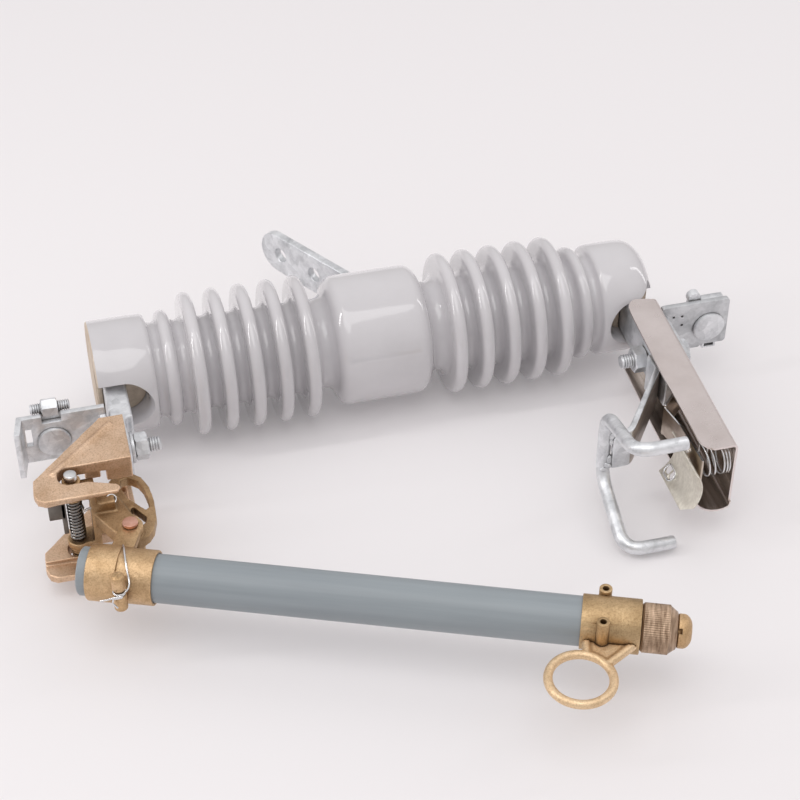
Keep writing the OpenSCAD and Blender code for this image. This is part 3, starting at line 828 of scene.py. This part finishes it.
s = Shape(to_h)
pts = []
for i in range(27):
    a = rad(60 + 90 * i / 30)
    pts.append((25 + 10.2 * i / 30, 18.5 * cos(a), 18.5 * sin(a)))
pts += bend(pts[-1], (36.2, -18.8, 9.0), (33.62, -22.7, 9.4), 14)[1:]
for i in range(27):
    a = rad(-10 - 400 * i / 26)
    pts.append((30 + 3.65 * cos(a), -22.2 + 3.65 * sin(a), 9.4 - 0.9 * i / 26))
s.tube(pts, 0.62, 8)
for ph in (0, pi):
    tw = []
    for i in range(28):
        t = i / 27
        a = ph + 5 * pi * t
        tw.append((32.4 - 5.5 * t + 0.62 * cos(a), -26.6 - 0.9 * t, 8.6 + 0.62 * sin(a) - 1.2 * t))
    if ph == 0:
        tw += [(23.8, -28.0, 6.6), (19.6, -28.4, 5.4)]
    else:
        tw += [(27.2, -28.6, 4.8), (30.2, -29.0, 1.6)]
    s.tube(tw, 0.6, 8)
made("tie_wire", s, M_BRIGHT, 60)

s = Shape(to_h)
s.lathe([(0.6, 9.5), (0, 10.1), (0, 14.3), (0.7, 15), (318, 15), (318, 9.5)], "x", (0, 0, 0), 96, loop=True)
tube = made("fuse_tube", s, M_TUBE, 35)
tube.data.materials.append(M_BORE)
for f in tube.data.polygons:
    c = f.center
    o0, o1 = to_h((0, 0, 0)), to_h((318, 0, 0))
    ax = (o1 - o0).normalized()
    d = (c - o0) - ax * (c - o0).dot(ax)
    if d.length < 0.0098:
        f.material_index = 1

from_cad("upper_ferrule", M_BRONZE_R, 0.5, 2)
cast("pull_ring", M_BRONZE_L, 0.6, 5)


def knurl(a, d, r):
    if r < 14.0 or not 340.7 < d < 356.0:
        return r
    return r - 0.22 + 0.26 * abs(cos(a * 33))


s = Shape(to_h)
s.lathe([(339.6, 9.5), (339.6, 13.8), (340.4, 14.4), (340.8, 14.8), (342.0, 14.8), (355.9, 14.8), (356.1, 14.3), (356.8, 13.7), (357.4, 13.2), (360.2, 11.2), (360.6, 10.4), (360.6, 0), (350, 0), (350, 9.5)], "x", (0, 0, 0), 264, knurl, loop=True)
made("fuse_cap", s, M_CAP, 30)
s = Shape(to_h)
s.lathe([(360.8, 0), (360.8, 9.6), (361.4, 10.3), (364.6, 10.3), (366.0, 9.8), (367.4, 8.6), (368.6, 6.8), (369.2, 5.0), (369.4, 2.4), (369.4, 0)], "x", (0, 0, 0), 64)
tip = obj_of(s.mesh("cap_button_v"), "cap_button_v")
notch = Shape(lambda q: to_h((q[0], (q[1] + q[2]) * 0.7071, (q[2] - q[1]) * 0.7071)))
notch.block((360, -14, -1.6), (363.4, -8.4, 1.6))
cut(tip, notch)
smooth(tip.data, 35)
settle(tip, "cap_button", M_BRONZE_Y)

# ---------- floor and light ----------
fl = Mat("floor", (0.69, 0.669, 0.677), 0.85, 0.0)
fl.b.inputs["Emission Color"].default_value = (1.0, 0.968, 0.98, 1)
fl.b.inputs["Emission Strength"].default_value = 0.135
bm = bmesh.new()
bmesh.ops.create_grid(bm, x_segments=1, y_segments=1, size=6)
me = bpy.data.meshes.new("floor")
bm.to_mesh(me)
bm.free()
floor = obj_of(me, "floor")
floor.location = P(0, 0, -50.2)
me.materials.append(fl.m)

w = bpy.data.worlds.new("w")
S.world = w
w.use_nodes = True
wt = w.node_tree
bg = wt.nodes["Background"]
bg.inputs[1].default_value = 0.84
tc = wt.nodes.new("ShaderNodeTexCoord")
sep = wt.nodes.new("ShaderNodeSeparateXYZ")
wr = wt.nodes.new("ShaderNodeValToRGB")
wt.links.new(tc.outputs["Generated"], sep.inputs[0])
wt.links.new(sep.outputs["Z"], wr.inputs["Fac"])
el = wr.color_ramp.elements
el[0].position, el[0].color = 0.0, (0.62, 0.59, 0.585, 1)
el[1].position, el[1].color = 0.85, (1.0, 0.985, 0.99, 1)
e = el.new(0.35)
e.color = (0.74, 0.72, 0.72, 1)
wt.links.new(wr.outputs["Color"], bg.inputs[0])


def area(name, at, aim, size, energy, col=(1, 1, 1)):
    d = bpy.data.lights.new(name, "AREA")
    d.energy, d.size, d.color = energy, size, col
    o = bpy.data.objects.new(name, d)
    o.location = at
    o.rotation_mode = "QUATERNION"
    o.rotation_quaternion = (aim - at).to_track_quat("-Z", "Y")
    S.collection.objects.link(o)
    return o


def strip_light(name, at, aim, wide, long, energy):
    o = area(name, at, aim, wide, energy, (1.0, 0.99, 0.985))
    o.data.shape = "RECTANGLE"
    o.data.size_y = long
    return o


area("key", P(-350, -700, 2100), P(0, -100, 0), 1.6, 12, (1.0, 0.99, 0.985))
strip_light("left_strip", P(-1500, 0, 950), P(0, -50, 0), 0.10, 1.8, 7)
strip_light("right_strip", P(1500, 100, 950), P(0, -50, 0), 0.16, 1.8, 3.2)
